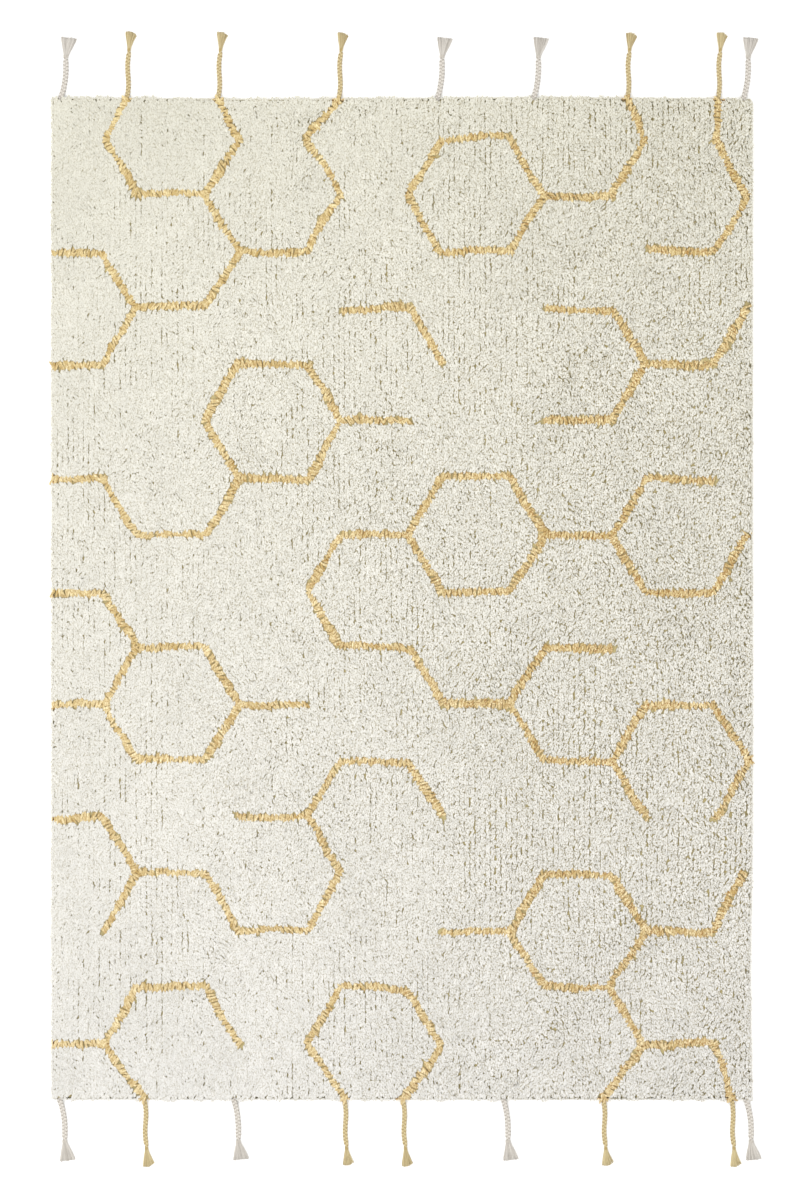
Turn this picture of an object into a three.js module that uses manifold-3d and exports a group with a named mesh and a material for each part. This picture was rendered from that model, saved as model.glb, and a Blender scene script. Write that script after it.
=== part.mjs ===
import * as THREE from 'three';
import { mergeVertices } from 'three/addons/utils/BufferGeometryUtils.js';
import Module from 'manifold-3d';

// A tufted cotton rug that lies flat, with a row of braided tassels at each end.
// Sizes are in millimetres. The origin is the middle of the underside and +Y runs along the rug.

const rugWidth = 1400;
const rugLength = 2000;
const rugThickness = 15;
const cornerRadius = 9;
const cellsAcross = 11;
const cellsAlong = 16;

// The side of the rug from the backing up over the pile
const sideProfile = [
  { height: 0, inset: 2.5 },
  { height: 2.5, inset: 1.5 },
  { height: 5, inset: 0 },
  { height: 10.5, inset: 0.5 },
  { height: 13.2, inset: 3 },
  { height: 14.4, inset: 8 },
];

// The right side is drawn in a little near one end, and the +Y end runs in a slight wave
const sideDip = { depth: 4, place: -750, reach: 180 };
const endWave = { height: 1.5, length: 1040 };

// The pile swells and dips in long waves
const swells = [
  { height: 0.6, across: 520, along: 900, start: 0.7 },
  { height: 0.35, across: -330, along: 410, start: 2.1 },
];

// Each tassel is sewn into a pocket in the rug's edge and falls from there to the floor
const clearance = 0.3;
const rootDepth = 8;
const rootHeight = 5.6;
const rootEnd = 2;
const fallEnd = 18;

// Every section of a braid has this many points, and a full turn of its strands has six sections
const sectionPoints = 8;
const sectionsPerCycle = 6;
const firstPhase = Math.PI / 12;
const coreFill = 0.8;

const tasselKinds = {
  natural: {
    colour: '#d7d0c3',
    tieColour: '#c6bdab',
    cycle: 21,
    plaitSections: 22,
    strandSwing: 3.1,
    strandRadius: 2.1,
    strandLift: 1.4,
    rootHalfWidth: 4.6,
    rootHalfHeight: 2.9,
    drift: 9,
    driftEnd: 60,
    sway: 0,
    neckHalfWidth: 3.9,
    neckHalfHeight: 2.3,
    neckLength: 5.5,
    tieThickness: 1,
    headLength: 8,
    headHalfWidth: 6.3,
    headHalfHeight: 2.9,
    brushLength: 36,
    brushLeft: 10,
    brushRight: 21,
    lowerLocks: 6,
    lockWidth: 3.4,
    lockHeight: 2.5,
    tipCut: 3,
    curl: 0,
  },
  yellow: {
    colour: '#d5b983',
    tieColour: '#c0a166',
    cycle: 21,
    plaitSections: 26,
    strandSwing: 2.75,
    strandRadius: 1.85,
    strandLift: 1.25,
    rootHalfWidth: 4.2,
    rootHalfHeight: 2.7,
    drift: 4.5,
    driftEnd: 91,
    sway: 1.8,
    neckHalfWidth: 2.6,
    neckHalfHeight: 2,
    neckLength: 5.5,
    tieThickness: 0.7,
    headLength: 7,
    headHalfWidth: 4.7,
    headHalfHeight: 2.7,
    brushLength: 32,
    brushLeft: 7,
    brushRight: 11,
    lowerLocks: 5,
    lockWidth: 3,
    lockHeight: 2.4,
    tipCut: 6,
    curl: 4,
  },
};

// A tassel's head carries two rows of locks. Heights are shares of the head's half height.
const headFloorGap = 0.1;
const rowSpread = 0.86;
const rowTilt = 0.04;
const rowCurve = 0.12;
const lockGap = 0.4;
const lockBaseHeight = 0.62;
const lowerRowBase = -0.78;
const upperRowBase = 0.1;

// Halfway out a lock has most of its width, and the upper row sinks between the lower one at the tips
const halfwayPlace = 0.55;
const halfwayGrowth = 0.6;
const upperTipSink = 0.9;

// A tie passes this far over the floor, and its thread ends short of the neck's ends
const tieFloorGap = 0.05;
const tieEndGap = 0.4;
const tieSlope = 0.5;

// How much the tassels differ in drift, sway and brush length
const driftVariation = 0.12;
const swayVariation = 0.3;
const brushVariation = 1.5;
const swaySeed = 50;
const brushSeed = 20;

// Where each tassel leaves the rug, from left to right
const topTassels = [
  { kind: 'natural', x: -681 },
  { kind: 'yellow', x: -549 },
  { kind: 'yellow', x: -367 },
  { kind: 'yellow', x: -126 },
  { kind: 'natural', x: 71 },
  { kind: 'natural', x: 263 },
  { kind: 'yellow', x: 450 },
  { kind: 'yellow', x: 631 },
  { kind: 'natural', x: 682 },
];
const bottomTassels = [
  { kind: 'natural', x: -683 },
  { kind: 'yellow', x: -514 },
  { kind: 'natural', x: -335 },
  { kind: 'yellow', x: -115 },
  { kind: 'yellow', x: 2 },
  { kind: 'natural', x: 203 },
  { kind: 'yellow', x: 402 },
  { kind: 'yellow', x: 658 },
  { kind: 'natural', x: 687 },
];

const wasm = await Module();
wasm.setup();

function mix(a, b, t) {
  return a + (b - a) * t;
}

function smooth(t) {
  const held = THREE.MathUtils.clamp(t, 0, 1);
  return held * held * (3 - 2 * held);
}

// A fixed value between -1 and 1 for each seed, so that the tassels differ slightly
function vary(seed) {
  const value = Math.sin(seed * 12.9898) * 43758.5453;
  return 2 * (value - Math.floor(value)) - 1;
}

function makeGeometry(points, faces) {
  const geometry = new THREE.BufferGeometry();
  const positions = points.flatMap((point) => point.toArray());
  geometry.setAttribute('position', new THREE.Float32BufferAttribute(positions, 3));
  geometry.setIndex(faces.flat());
  geometry.computeVertexNormals();
  return geometry;
}

// The faces of the wall between two rings of points, given by the number of each ring's first point
function wallFaces(ringA, ringB, count) {
  const faces = [];
  for (let i = 0; i < count; i += 1) {
    const next = (i + 1) % count;
    faces.push([ringA + i, ringA + next, ringB + next]);
    faces.push([ringA + i, ringB + next, ringB + i]);
  }
  return faces;
}

function flip(faces) {
  return faces.map(([a, b, c]) => [a, c, b]);
}

function toManifold(geometry) {
  const bare = geometry.clone();
  bare.deleteAttribute('normal');
  const merged = mergeVertices(bare);
  const triVerts = Uint32Array.from(merged.index.array);
  const vertProperties = merged.attributes.position.array;
  return new wasm.Manifold(new wasm.Mesh({ numProp: 3, vertProperties, triVerts }));
}

function fromManifold(solid) {
  const mesh = solid.getMesh();
  const geometry = new THREE.BufferGeometry();
  geometry.setAttribute('position', new THREE.BufferAttribute(mesh.vertProperties, 3));
  geometry.setIndex(new THREE.BufferAttribute(mesh.triVerts, 1));
  geometry.computeVertexNormals();
  return geometry;
}

// Grid lines along one side, with one at each end of the rounded corners
function gridStops(size, cells) {
  const inner = size / 2 - cornerRadius;
  const stops = [-size / 2];
  for (let i = 0; i <= cells; i += 1) {
    stops.push(mix(-inner, inner, i / cells));
  }
  stops.push(size / 2);
  return stops;
}

// A grid point on the rug's real outline: round at the corners and slightly uneven at the edges
function onFootprint(x, y, inset) {
  const u = x / (rugWidth / 2);
  const v = y / (rugLength / 2);
  const isCorner = Math.abs(u) === 1 && Math.abs(v) === 1;
  const cornerCut = isCorner ? cornerRadius * (1 - Math.SQRT1_2) : 0;
  const dip = u > 0 ? sideDip.depth * Math.exp(-(((y - sideDip.place) / sideDip.reach) ** 2)) : 0;
  const wave = v > 0 ? endWave.height * Math.sin((2 * Math.PI * x) / endWave.length) : 0;
  return {
    x: u * (rugWidth / 2 - inset - cornerCut - dip),
    y: v * (rugLength / 2 - inset - cornerCut + wave),
  };
}

function pileHeight(x, y) {
  let height = rugThickness;
  for (const swell of swells) {
    const turn = x / swell.across + y / swell.along;
    height += swell.height * Math.sin(2 * Math.PI * turn + swell.start);
  }
  return height;
}

// The rug body: a flat underside, a soft side and a gently uneven top
function rugBodyGeometry() {
  const xs = gridStops(rugWidth, cellsAcross);
  const ys = gridStops(rugLength, cellsAlong);
  const lastX = xs.length - 1;
  const lastY = ys.length - 1;
  const rim = [];
  for (let i = 0; i < lastX; i += 1) rim.push([i, 0]);
  for (let j = 0; j < lastY; j += 1) rim.push([lastX, j]);
  for (let i = lastX; i > 0; i -= 1) rim.push([i, lastY]);
  for (let j = lastY; j > 0; j -= 1) rim.push([0, j]);

  const points = [];
  for (const { height, inset } of sideProfile) {
    for (const [i, j] of rim) {
      const spot = onFootprint(xs[i], ys[j], inset);
      points.push(new THREE.Vector3(spot.x, spot.y, height));
    }
  }

  const topRing = (sideProfile.length - 1) * rim.length;
  const pointNumber = new Map(rim.map(([i, j], k) => [`${i},${j}`, topRing + k]));
  const topInset = sideProfile[sideProfile.length - 1].inset;
  for (let j = 1; j < lastY; j += 1) {
    for (let i = 1; i < lastX; i += 1) {
      const x = xs[i] * (1 - topInset / (rugWidth / 2));
      const y = ys[j] * (1 - topInset / (rugLength / 2));
      pointNumber.set(`${i},${j}`, points.length);
      points.push(new THREE.Vector3(x, y, pileHeight(x, y)));
    }
  }

  const faces = [];
  for (let ring = 0; ring < sideProfile.length - 1; ring += 1) {
    faces.push(...wallFaces(ring * rim.length, (ring + 1) * rim.length, rim.length));
  }
  for (let j = 0; j < lastY; j += 1) {
    for (let i = 0; i < lastX; i += 1) {
      const a = pointNumber.get(`${i},${j}`);
      const b = pointNumber.get(`${i + 1},${j}`);
      const c = pointNumber.get(`${i + 1},${j + 1}`);
      const d = pointNumber.get(`${i},${j + 1}`);
      faces.push([a, b, c], [a, c, d]);
    }
  }
  const underside = points.slice(0, rim.length).map((point) => new THREE.Vector2(point.x, point.y));
  faces.push(...flip(THREE.ShapeUtils.triangulateShape(underside, [])));
  return makeGeometry(points, faces);
}

// A section across a tassel is a list of points: x to the side and z up, from +X round by +Z
function ovalSection(centreX, centreZ, halfWidth, halfHeight) {
  const section = [];
  for (let i = 0; i < sectionPoints; i += 1) {
    const angle = (2 * Math.PI * i) / sectionPoints;
    const x = centreX + halfWidth * Math.cos(angle);
    const z = centreZ + halfHeight * Math.sin(angle);
    section.push(new THREE.Vector2(x, z));
  }
  return section;
}

// A flattened section with full corners, for the end of a tassel's head
function boxySection(centreX, centreZ, halfWidth, halfHeight) {
  const fullness = 1.2;
  return ovalSection(centreX, centreZ, halfWidth, halfHeight).map((point, i) => {
    const grow = i % 2 === 1 ? fullness : 1;
    return new THREE.Vector2(mix(centreX, point.x, grow), mix(centreZ, point.y, grow));
  });
}

// How far the outline of three plaited round strands lies from their middle, in one direction.
// Each strand swings from side to side once in a cycle and up and down twice.
function plaitReach(kind, phase, angle) {
  const towards = new THREE.Vector2(Math.cos(angle), Math.sin(angle));
  const wide = kind.strandSwing + kind.strandRadius;
  const high = kind.strandLift + kind.strandRadius;
  let reach = (coreFill * wide * high) / Math.hypot(high * towards.x, wide * towards.y);
  for (let strand = 0; strand < 3; strand += 1) {
    const turn = phase + (2 * Math.PI * strand) / 3;
    const x = kind.strandSwing * Math.sin(turn);
    const z = kind.strandLift * Math.sin(2 * turn);
    const along = x * towards.x + z * towards.y;
    const spare = kind.strandRadius ** 2 - x * x - z * z + along * along;
    if (spare >= 0) reach = Math.max(reach, along + Math.sqrt(spare));
  }
  return reach;
}

function plaitSection(kind, phase, centreX, centreZ) {
  const section = [];
  for (let i = 0; i < sectionPoints; i += 1) {
    const angle = (2 * Math.PI * i) / sectionPoints;
    const reach = plaitReach(kind, phase, angle);
    const x = centreX + reach * Math.cos(angle);
    const z = centreZ + reach * Math.sin(angle);
    section.push(new THREE.Vector2(x, z));
  }
  return section;
}

// The height of the braid's middle at which its lowest point touches the floor
function restHeight(kind) {
  const section = plaitSection(kind, firstPhase, 0, 0);
  return -Math.min(...section.map((point) => point.y));
}

// The braid's middle at a distance from the rug's edge: it drifts to +X and falls to the floor
function braidMiddle(kind, distance, seed) {
  const along = THREE.MathUtils.clamp(distance / kind.driftEnd, 0, 1);
  const bow = kind.sway > 0 ? along : 1 - (1 - along) ** 2;
  const drift = kind.drift * (1 + driftVariation * vary(seed)) * bow;
  const sway = kind.sway * (1 + swayVariation * vary(seed + swaySeed)) * Math.sin(2 * Math.PI * along);
  const fall = smooth((distance - rootEnd) / (fallEnd - rootEnd));
  return { x: drift + sway, z: mix(rootHeight, restHeight(kind), fall) };
}

function plaitLength(kind) {
  return (kind.plaitSections * kind.cycle) / sectionsPerCycle;
}

function neckStart(kind) {
  return plaitLength(kind) + kind.neckLength / 2;
}

// The neck's middle stands high enough for the tie to pass under it
function neckMiddle(kind, seed) {
  const x = braidMiddle(kind, plaitLength(kind), seed).x;
  return { x, z: kind.neckHalfHeight + clearance + kind.tieThickness + tieFloorGap };
}

// The rings of points from the sewn root along the braid to the end of the head
function tasselRings(kind, seed) {
  const rings = [];
  for (const distance of [-rootDepth, rootEnd]) {
    const section = ovalSection(0, rootHeight, kind.rootHalfWidth, kind.rootHalfHeight);
    rings.push({ distance, section });
  }
  const step = kind.cycle / sectionsPerCycle;
  for (let i = 1; i <= kind.plaitSections; i += 1) {
    const middle = braidMiddle(kind, i * step, seed);
    const phase = firstPhase + (2 * Math.PI * i) / sectionsPerCycle;
    rings.push({ distance: i * step, section: plaitSection(kind, phase, middle.x, middle.z) });
  }
  const neck = neckMiddle(kind, seed);
  for (const distance of [neckStart(kind), neckStart(kind) + kind.neckLength]) {
    const section = ovalSection(neck.x, neck.z, kind.neckHalfWidth, kind.neckHalfHeight);
    rings.push({ distance, section });
  }
  const head = headMiddle(kind, seed);
  const section = boxySection(head.x, head.z, kind.headHalfWidth, kind.headHalfHeight);
  rings.push({ distance: head.distance, section });
  return rings;
}

function headMiddle(kind, seed) {
  const share = kind.headLength / kind.brushLength;
  const lean = ((kind.brushRight - kind.brushLeft) / 2) * share;
  return {
    x: neckMiddle(kind, seed).x + lean,
    z: kind.headHalfHeight + headFloorGap,
    distance: neckStart(kind) + kind.neckLength + kind.headLength,
  };
}

// One lock of the brush: a three-sided section with its flat side down
function lockSection(x, z, width, height) {
  return [
    new THREE.Vector2(x - width / 2, z),
    new THREE.Vector2(x + width / 2, z),
    new THREE.Vector2(x, z + height),
  ];
}

// The locks of a brush in two layers. The lower layer lies on the floor and the upper one over it.
// Each lock is a list of three rings, from the head's end to the cut tip.
function brushLocks(kind, seed) {
  const head = headMiddle(kind, seed);
  const neckX = neckMiddle(kind, seed).x;
  const tipDistance = neckStart(kind) + kind.neckLength + kind.brushLength;
  const tipMiddle = neckX + (kind.brushRight - kind.brushLeft) / 2;
  const tipSpan = kind.brushRight + kind.brushLeft - kind.lockWidth;
  const basePitch = (2 * rowSpread * kind.headHalfWidth) / kind.lowerLocks;
  const baseWidth = basePitch - lockGap;
  const baseHeight = lockBaseHeight * kind.headHalfHeight;
  const layers = [
    { count: kind.lowerLocks, baseShare: lowerRowBase, middleZ: 0, tipZ: 0 },
    {
      count: kind.lowerLocks - 1,
      baseShare: upperRowBase,
      middleZ: kind.lockHeight,
      tipZ: upperTipSink * kind.lockHeight,
    },
  ];
  const locks = [];
  for (const layer of layers) {
    for (let i = 0; i < layer.count; i += 1) {
      const place = i - (layer.count - 1) / 2;
      const side = (2 * place) / (kind.lowerLocks - 1);
      const right = Math.max(0, side);
      const tipPitch = tipSpan / (kind.lowerLocks - 1);
      const tipX = tipMiddle + place * tipPitch + kind.curl * right * right;
      const baseX = head.x + place * basePitch;
      const rowZ = layer.baseShare * kind.headHalfHeight * (1 - rowCurve * side * side);
      const baseZ = head.z + rowZ + rowTilt * place;
      const cut = kind.tipCut * (kind.curl > 0 ? right * right : (1 + side) / 2);
      const tip = tipDistance + brushVariation * vary(seed + brushSeed) - cut;
      const halfway = mix(head.distance, tip, halfwayPlace);
      const midX = mix(baseX, tipMiddle + place * tipPitch, 0.5);
      const midWidth = mix(baseWidth, kind.lockWidth, halfwayGrowth);
      const midHeight = mix(baseHeight, kind.lockHeight, halfwayGrowth);
      locks.push([
        {
          distance: head.distance,
          section: lockSection(baseX, baseZ, baseWidth, baseHeight),
        },
        {
          distance: halfway,
          section: lockSection(midX, layer.middleZ, midWidth, midHeight),
        },
        {
          distance: tip,
          section: lockSection(tipX, layer.tipZ, kind.lockWidth, kind.lockHeight),
        },
      ]);
    }
  }
  return locks;
}

// A tassel in one piece: the plaited braid, and a head whose end face carries the locks.
// The end sign is 1 at the rug's +Y end and -1 at the other.
function tasselGeometry(kind, end, seed) {
  const points = [];
  const faces = [];
  const addRing = ({ distance, section }) => {
    const first = points.length;
    for (const point of section) {
      points.push(new THREE.Vector3(point.x, end * distance, point.y));
    }
    return first;
  };
  const rings = tasselRings(kind, seed);
  const starts = rings.map(addRing);
  for (let i = 1; i < starts.length; i += 1) {
    faces.push(...wallFaces(starts[i - 1], starts[i], sectionPoints));
  }
  faces.push(...flip(THREE.ShapeUtils.triangulateShape(rings[0].section, [])));

  const locks = brushLocks(kind, seed);
  const lockStarts = locks.map((lock) => lock.map(addRing));
  const headRing = rings.length - 1;
  const holes = locks.map((lock) => lock[0].section);
  const capPoints = [...Array(sectionPoints).keys()].map((i) => starts[headRing] + i);
  for (const [base] of lockStarts) capPoints.push(base, base + 1, base + 2);
  const cap = THREE.ShapeUtils.triangulateShape(rings[headRing].section, holes);
  for (const [a, b, c] of cap) faces.push([capPoints[a], capPoints[b], capPoints[c]]);
  for (const [base, middle, tip] of lockStarts) {
    faces.push(...wallFaces(base, middle, 3), ...wallFaces(middle, tip, 3));
    faces.push([tip, tip + 1, tip + 2]);
  }
  return makeGeometry(points, end > 0 ? flip(faces) : faces);
}

// The thread tied round the neck: a flat band, a little narrower on its outside
function tieGeometry(kind, end, seed) {
  const neck = neckMiddle(kind, seed);
  const from = neckStart(kind) + tieEndGap;
  const to = neckStart(kind) + kind.neckLength - tieEndGap;
  const inside = clearance;
  const outside = clearance + kind.tieThickness;
  const profile = [
    { distance: from, gap: inside },
    { distance: from + tieSlope, gap: outside },
    { distance: to - tieSlope, gap: outside },
    { distance: to, gap: inside },
  ];
  const points = [];
  const faces = [];
  for (const { distance, gap } of profile) {
    const section = ovalSection(neck.x, neck.z, kind.neckHalfWidth + gap, kind.neckHalfHeight + gap);
    for (const point of section) {
      points.push(new THREE.Vector3(point.x, end * distance, point.y));
    }
  }
  for (let i = 0; i < profile.length; i += 1) {
    const next = (i + 1) % profile.length;
    faces.push(...wallFaces(i * sectionPoints, next * sectionPoints, sectionPoints));
  }
  return makeGeometry(points, end > 0 ? flip(faces) : faces);
}

// The pocket that a tassel's root fills, open at the rug's edge
function pocketGeometry(kind, end) {
  const width = kind.rootHalfWidth + clearance;
  const height = kind.rootHalfHeight + clearance;
  const section = ovalSection(0, rootHeight, width, height);
  const points = [];
  for (const distance of [-rootDepth - clearance, 2 * rootEnd]) {
    for (const point of section) {
      points.push(new THREE.Vector3(point.x, end * distance, point.y));
    }
  }
  const faces = wallFaces(0, sectionPoints, sectionPoints);
  const cap = THREE.ShapeUtils.triangulateShape(section, []);
  faces.push(...flip(cap));
  faces.push(...cap.map((face) => face.map((corner) => corner + sectionPoints)));
  return makeGeometry(points, end > 0 ? flip(faces) : faces);
}

function cotton(colour) {
  return new THREE.MeshStandardMaterial({ color: colour, roughness: 0.95, metalness: 0 });
}

function addMesh(group, name, geometry, material) {
  const mesh = new THREE.Mesh(geometry, material);
  mesh.name = name;
  group.add(mesh);
  return mesh;
}

const rugEnds = [
  { name: 'top', end: 1, tassels: topTassels, seed: 1 },
  { name: 'bottom', end: -1, tassels: bottomTassels, seed: 101 },
];

const group = new THREE.Group();
let rugSolid = toManifold(rugBodyGeometry());
for (const { name, end, tassels, seed } of rugEnds) {
  tassels.forEach(({ kind: kindName, x }, i) => {
    const kind = tasselKinds[kindName];
    const pocket = pocketGeometry(kind, end).translate(x, (end * rugLength) / 2, 0);
    rugSolid = rugSolid.subtract(toManifold(pocket));

    const tassel = new THREE.Group();
    tassel.position.set(x, (end * rugLength) / 2, 0);
    const braid = tasselGeometry(kind, end, seed + i);
    const tie = tieGeometry(kind, end, seed + i);
    addMesh(tassel, `tassel_${name}_${i + 1}`, braid, cotton(kind.colour));
    addMesh(tassel, `tie_${name}_${i + 1}`, tie, cotton(kind.tieColour));
    group.add(tassel);
  });
}
addMesh(group, 'rug', fromManifold(rugSolid), cotton('#e3dfd2'));

export default group;
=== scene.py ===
import math

import bpy
import numpy as np
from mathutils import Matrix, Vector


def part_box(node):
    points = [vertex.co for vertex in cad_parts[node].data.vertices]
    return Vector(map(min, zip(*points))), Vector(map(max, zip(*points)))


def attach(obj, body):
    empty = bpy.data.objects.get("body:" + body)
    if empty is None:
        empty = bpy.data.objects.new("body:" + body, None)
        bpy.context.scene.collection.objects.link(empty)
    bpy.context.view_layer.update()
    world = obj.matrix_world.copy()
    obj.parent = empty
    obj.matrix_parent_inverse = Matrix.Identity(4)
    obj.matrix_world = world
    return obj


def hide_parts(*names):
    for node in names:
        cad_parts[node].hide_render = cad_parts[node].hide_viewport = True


# A tufted cotton play rug with braided tassels, lying flat on a pale floor.
# Metres. The origin is the middle of the underside, +Y runs along the rug and +Z is up.

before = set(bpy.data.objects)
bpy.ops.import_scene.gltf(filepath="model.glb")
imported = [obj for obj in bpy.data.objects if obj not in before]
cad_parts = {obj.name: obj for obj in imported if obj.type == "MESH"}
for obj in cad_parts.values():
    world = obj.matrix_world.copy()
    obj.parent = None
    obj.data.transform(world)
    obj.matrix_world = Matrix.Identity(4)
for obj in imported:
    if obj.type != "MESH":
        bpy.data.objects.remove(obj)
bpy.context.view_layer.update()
print("frame loaded:", len(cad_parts), "nodes")

rugShape = dict(
    halfWidth=0.7,
    halfLength=1.0,
    thickness=0.015,
    cornerRadius=0.009,
    sideDip=0.004,  # the right side is drawn in this much
    sideDipPlace=-0.75,
    sideDipReach=0.18,
    endWave=0.0015,  # the +Y end runs in a slight wave
    endWaveLength=1.04,
)


# Smooth noise from -1 to 1: random values on a square lattice, eased from corner to corner
def softNoise(x, y, cell, seed):
    size = 257
    lattice = np.random.default_rng(seed).random((size, size))
    u, v = x / cell, y / cell
    i, j = np.floor(u).astype(int), np.floor(v).astype(int)
    fu, fv = u - i, v - j
    fu, fv = fu * fu * (3 - 2 * fu), fv * fv * (3 - 2 * fv)
    i0, i1, j0, j1 = i % size, (i + 1) % size, j % size, (j + 1) % size
    low = lattice[i0, j0] * (1 - fu) + lattice[i1, j0] * fu
    high = lattice[i0, j1] * (1 - fu) + lattice[i1, j1] * fu
    return 2 * (low * (1 - fv) + high * fv) - 1


# Eases from 0 to 1 as t goes from 0 to 1
def ease(t):
    t = np.clip(t, 0, 1)
    return t * t * (3 - 2 * t)


# Spots on an exact rectangle moved to the rug's slightly uneven outline
def onOutline(x, y):
    s = rugShape
    fall = np.exp(-(((y - s["sideDipPlace"]) / s["sideDipReach"]) ** 2))
    dip = np.where(x > 0, s["sideDip"] * fall, 0)
    wave = np.where(y > 0, s["endWave"] * np.sin(2 * np.pi * x / s["endWaveLength"]), 0)
    return x * (1 - dip / s["halfWidth"]), y * (1 + wave / s["halfLength"])


# Height of the pile's surface: the thickness plus two long sine swells
def pileTop(x, y):
    first = 0.0006 * np.sin(2 * np.pi * (x / 0.52 + y / 0.9) + 0.7)
    second = 0.00035 * np.sin(2 * np.pi * (-x / 0.33 + y / 0.41) + 2.1)
    return rugShape["thickness"] + first + second


# A mesh object from its points and a list of face arrays, each with its own number of corners
def newPiece(name, points, faceSets, material, values=None, uvs=None):
    mesh = bpy.data.meshes.new(name)
    points = np.asarray(points, np.float32).reshape(-1, 3)
    corners = np.concatenate([f.ravel() for f in faceSets]).astype(np.int32)
    sizes = np.concatenate([np.full(len(f), f.shape[1]) for f in faceSets])
    starts = np.concatenate([[0], np.cumsum(sizes)[:-1]]).astype(np.int32)
    mesh.vertices.add(len(points))
    mesh.vertices.foreach_set("co", points.ravel())
    mesh.loops.add(len(corners))
    mesh.loops.foreach_set("vertex_index", corners)
    mesh.polygons.add(len(sizes))
    mesh.polygons.foreach_set("loop_start", starts)
    mesh.polygons.foreach_set("use_smooth", np.ones(len(sizes), bool))
    for key, value in (values or {}).items():
        attribute = mesh.attributes.new(key, "FLOAT", "POINT")
        attribute.data.foreach_set("value", np.asarray(value, np.float32).ravel())
    if uvs is not None:
        layer = mesh.uv_layers.new(name="UVMap")
        layer.uv.foreach_set("vector", np.asarray(uvs, np.float32).ravel())
    mesh.update(calc_edges=True)
    piece = bpy.data.objects.new(name, mesh)
    bpy.context.scene.collection.objects.link(piece)
    for m in material if isinstance(material, list) else [material]:
        mesh.materials.append(m)
    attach(piece, "root")
    return piece


# sRGB as seen in a picture to the linear values of a shader
def colour(r, g, b):
    c = np.array([r, g, b]) / 255
    linear = np.where(c <= 0.04045, c / 12.92, ((c + 0.055) / 1.055) ** 2.4)
    return (*linear, 1.0)


# Adds a node and sets or links its inputs; a value that is a socket is linked
def addNode(tree, kind, inputs=None, **settings):
    node = tree.nodes.new(kind)
    for key, value in settings.items():
        setattr(node, key, value)
    for key, value in (inputs or {}).items():
        if isinstance(value, bpy.types.NodeSocket):
            tree.links.new(value, node.inputs[key])
        else:
            node.inputs[key].default_value = value
    return node


def mixColour(tree, factor, a, b, blend="MIX"):
    node = addNode(tree, "ShaderNodeMix", data_type="RGBA", blend_type=blend)
    for socket, value in ((node.inputs[0], factor), (node.inputs[6], a), (node.inputs[7], b)):
        if isinstance(value, bpy.types.NodeSocket):
            tree.links.new(value, socket)
        else:
            socket.default_value = value
    return node.outputs[2]


def remap(tree, value, fromMin, fromMax, toMin, toMax):
    node = addNode(tree, "ShaderNodeMapRange", {
        "Value": value, "From Min": fromMin, "From Max": fromMax, "To Min": toMin, "To Max": toMax,
    })
    return node.outputs["Result"]


# A cloth material with its own colour and height sockets, joined up by the caller
def clothMaterial(name, roughness, sheen, bumpDistance, bumpStrength):
    material = bpy.data.materials.new(name)
    material.use_nodes = True
    tree = material.node_tree
    shader = tree.nodes["Principled BSDF"]
    shader.inputs["Roughness"].default_value = roughness
    shader.inputs["Sheen Weight"].default_value = sheen
    shader.inputs["Sheen Roughness"].default_value = 0.6
    shader.inputs["Specular IOR Level"].default_value = 0.15
    bump = addNode(tree, "ShaderNodeBump", {"Strength": bumpStrength, "Distance": bumpDistance})
    tree.links.new(bump.outputs["Normal"], shader.inputs["Normal"])
    spot = addNode(tree, "ShaderNodeTexCoord").outputs["Object"]
    return material, tree, shader.inputs["Base Color"], bump.inputs["Height"], spot


pileLook = dict(
    creamLow=colour(200, 198, 188),
    creamHigh=colour(225, 223, 215),
    # The root colours are painted shade at the foot of each tuft
    creamRootShade=colour(158, 150, 118),
    # The crease colours are painted shade in the creases between yarn ends
    creamCreaseShade=colour(128, 114, 72),
    yellowLow=colour(182, 157, 100),
    yellowHigh=colour(233, 219, 175),
    yellowRootShade=colour(160, 112, 48),
    yellowCreaseShade=colour(148, 102, 42),
    # Painted light: a cooler cast towards -Y and a warmer one towards +Y
    coolLightTint=(1.0, 1.0, 1.045, 1.0),
    warmLightTint=(1.0, 0.995, 0.95, 1.0),
    endScale=(300.0, 135.0, 60.0),  # cut yarn ends to the metre in X, Y and Z
    nap=0.02,  # how far patches of yarn ends are dragged
    patchScale=10.0,
    grainScale=900.0,
    grainTone=0.2,
    depthScale=320.0,  # of the noise that leaves some creases without painted shade
    depthRange=0.22,
    creaseStart=0.02,  # start and end of a crease's painted shade, as shares of a yarn end
    creaseWidth=0.15,
    smoothSide=0.5,  # how strong the painted crease shade and the tone spread are along the -X side
    endSmoothing=-0.22,  # added to that strength, times y squared
    rootShadeFade=(0.25, 0.55),  # where up the tuft the painted root shade turns to the yarn's colour
)
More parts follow.
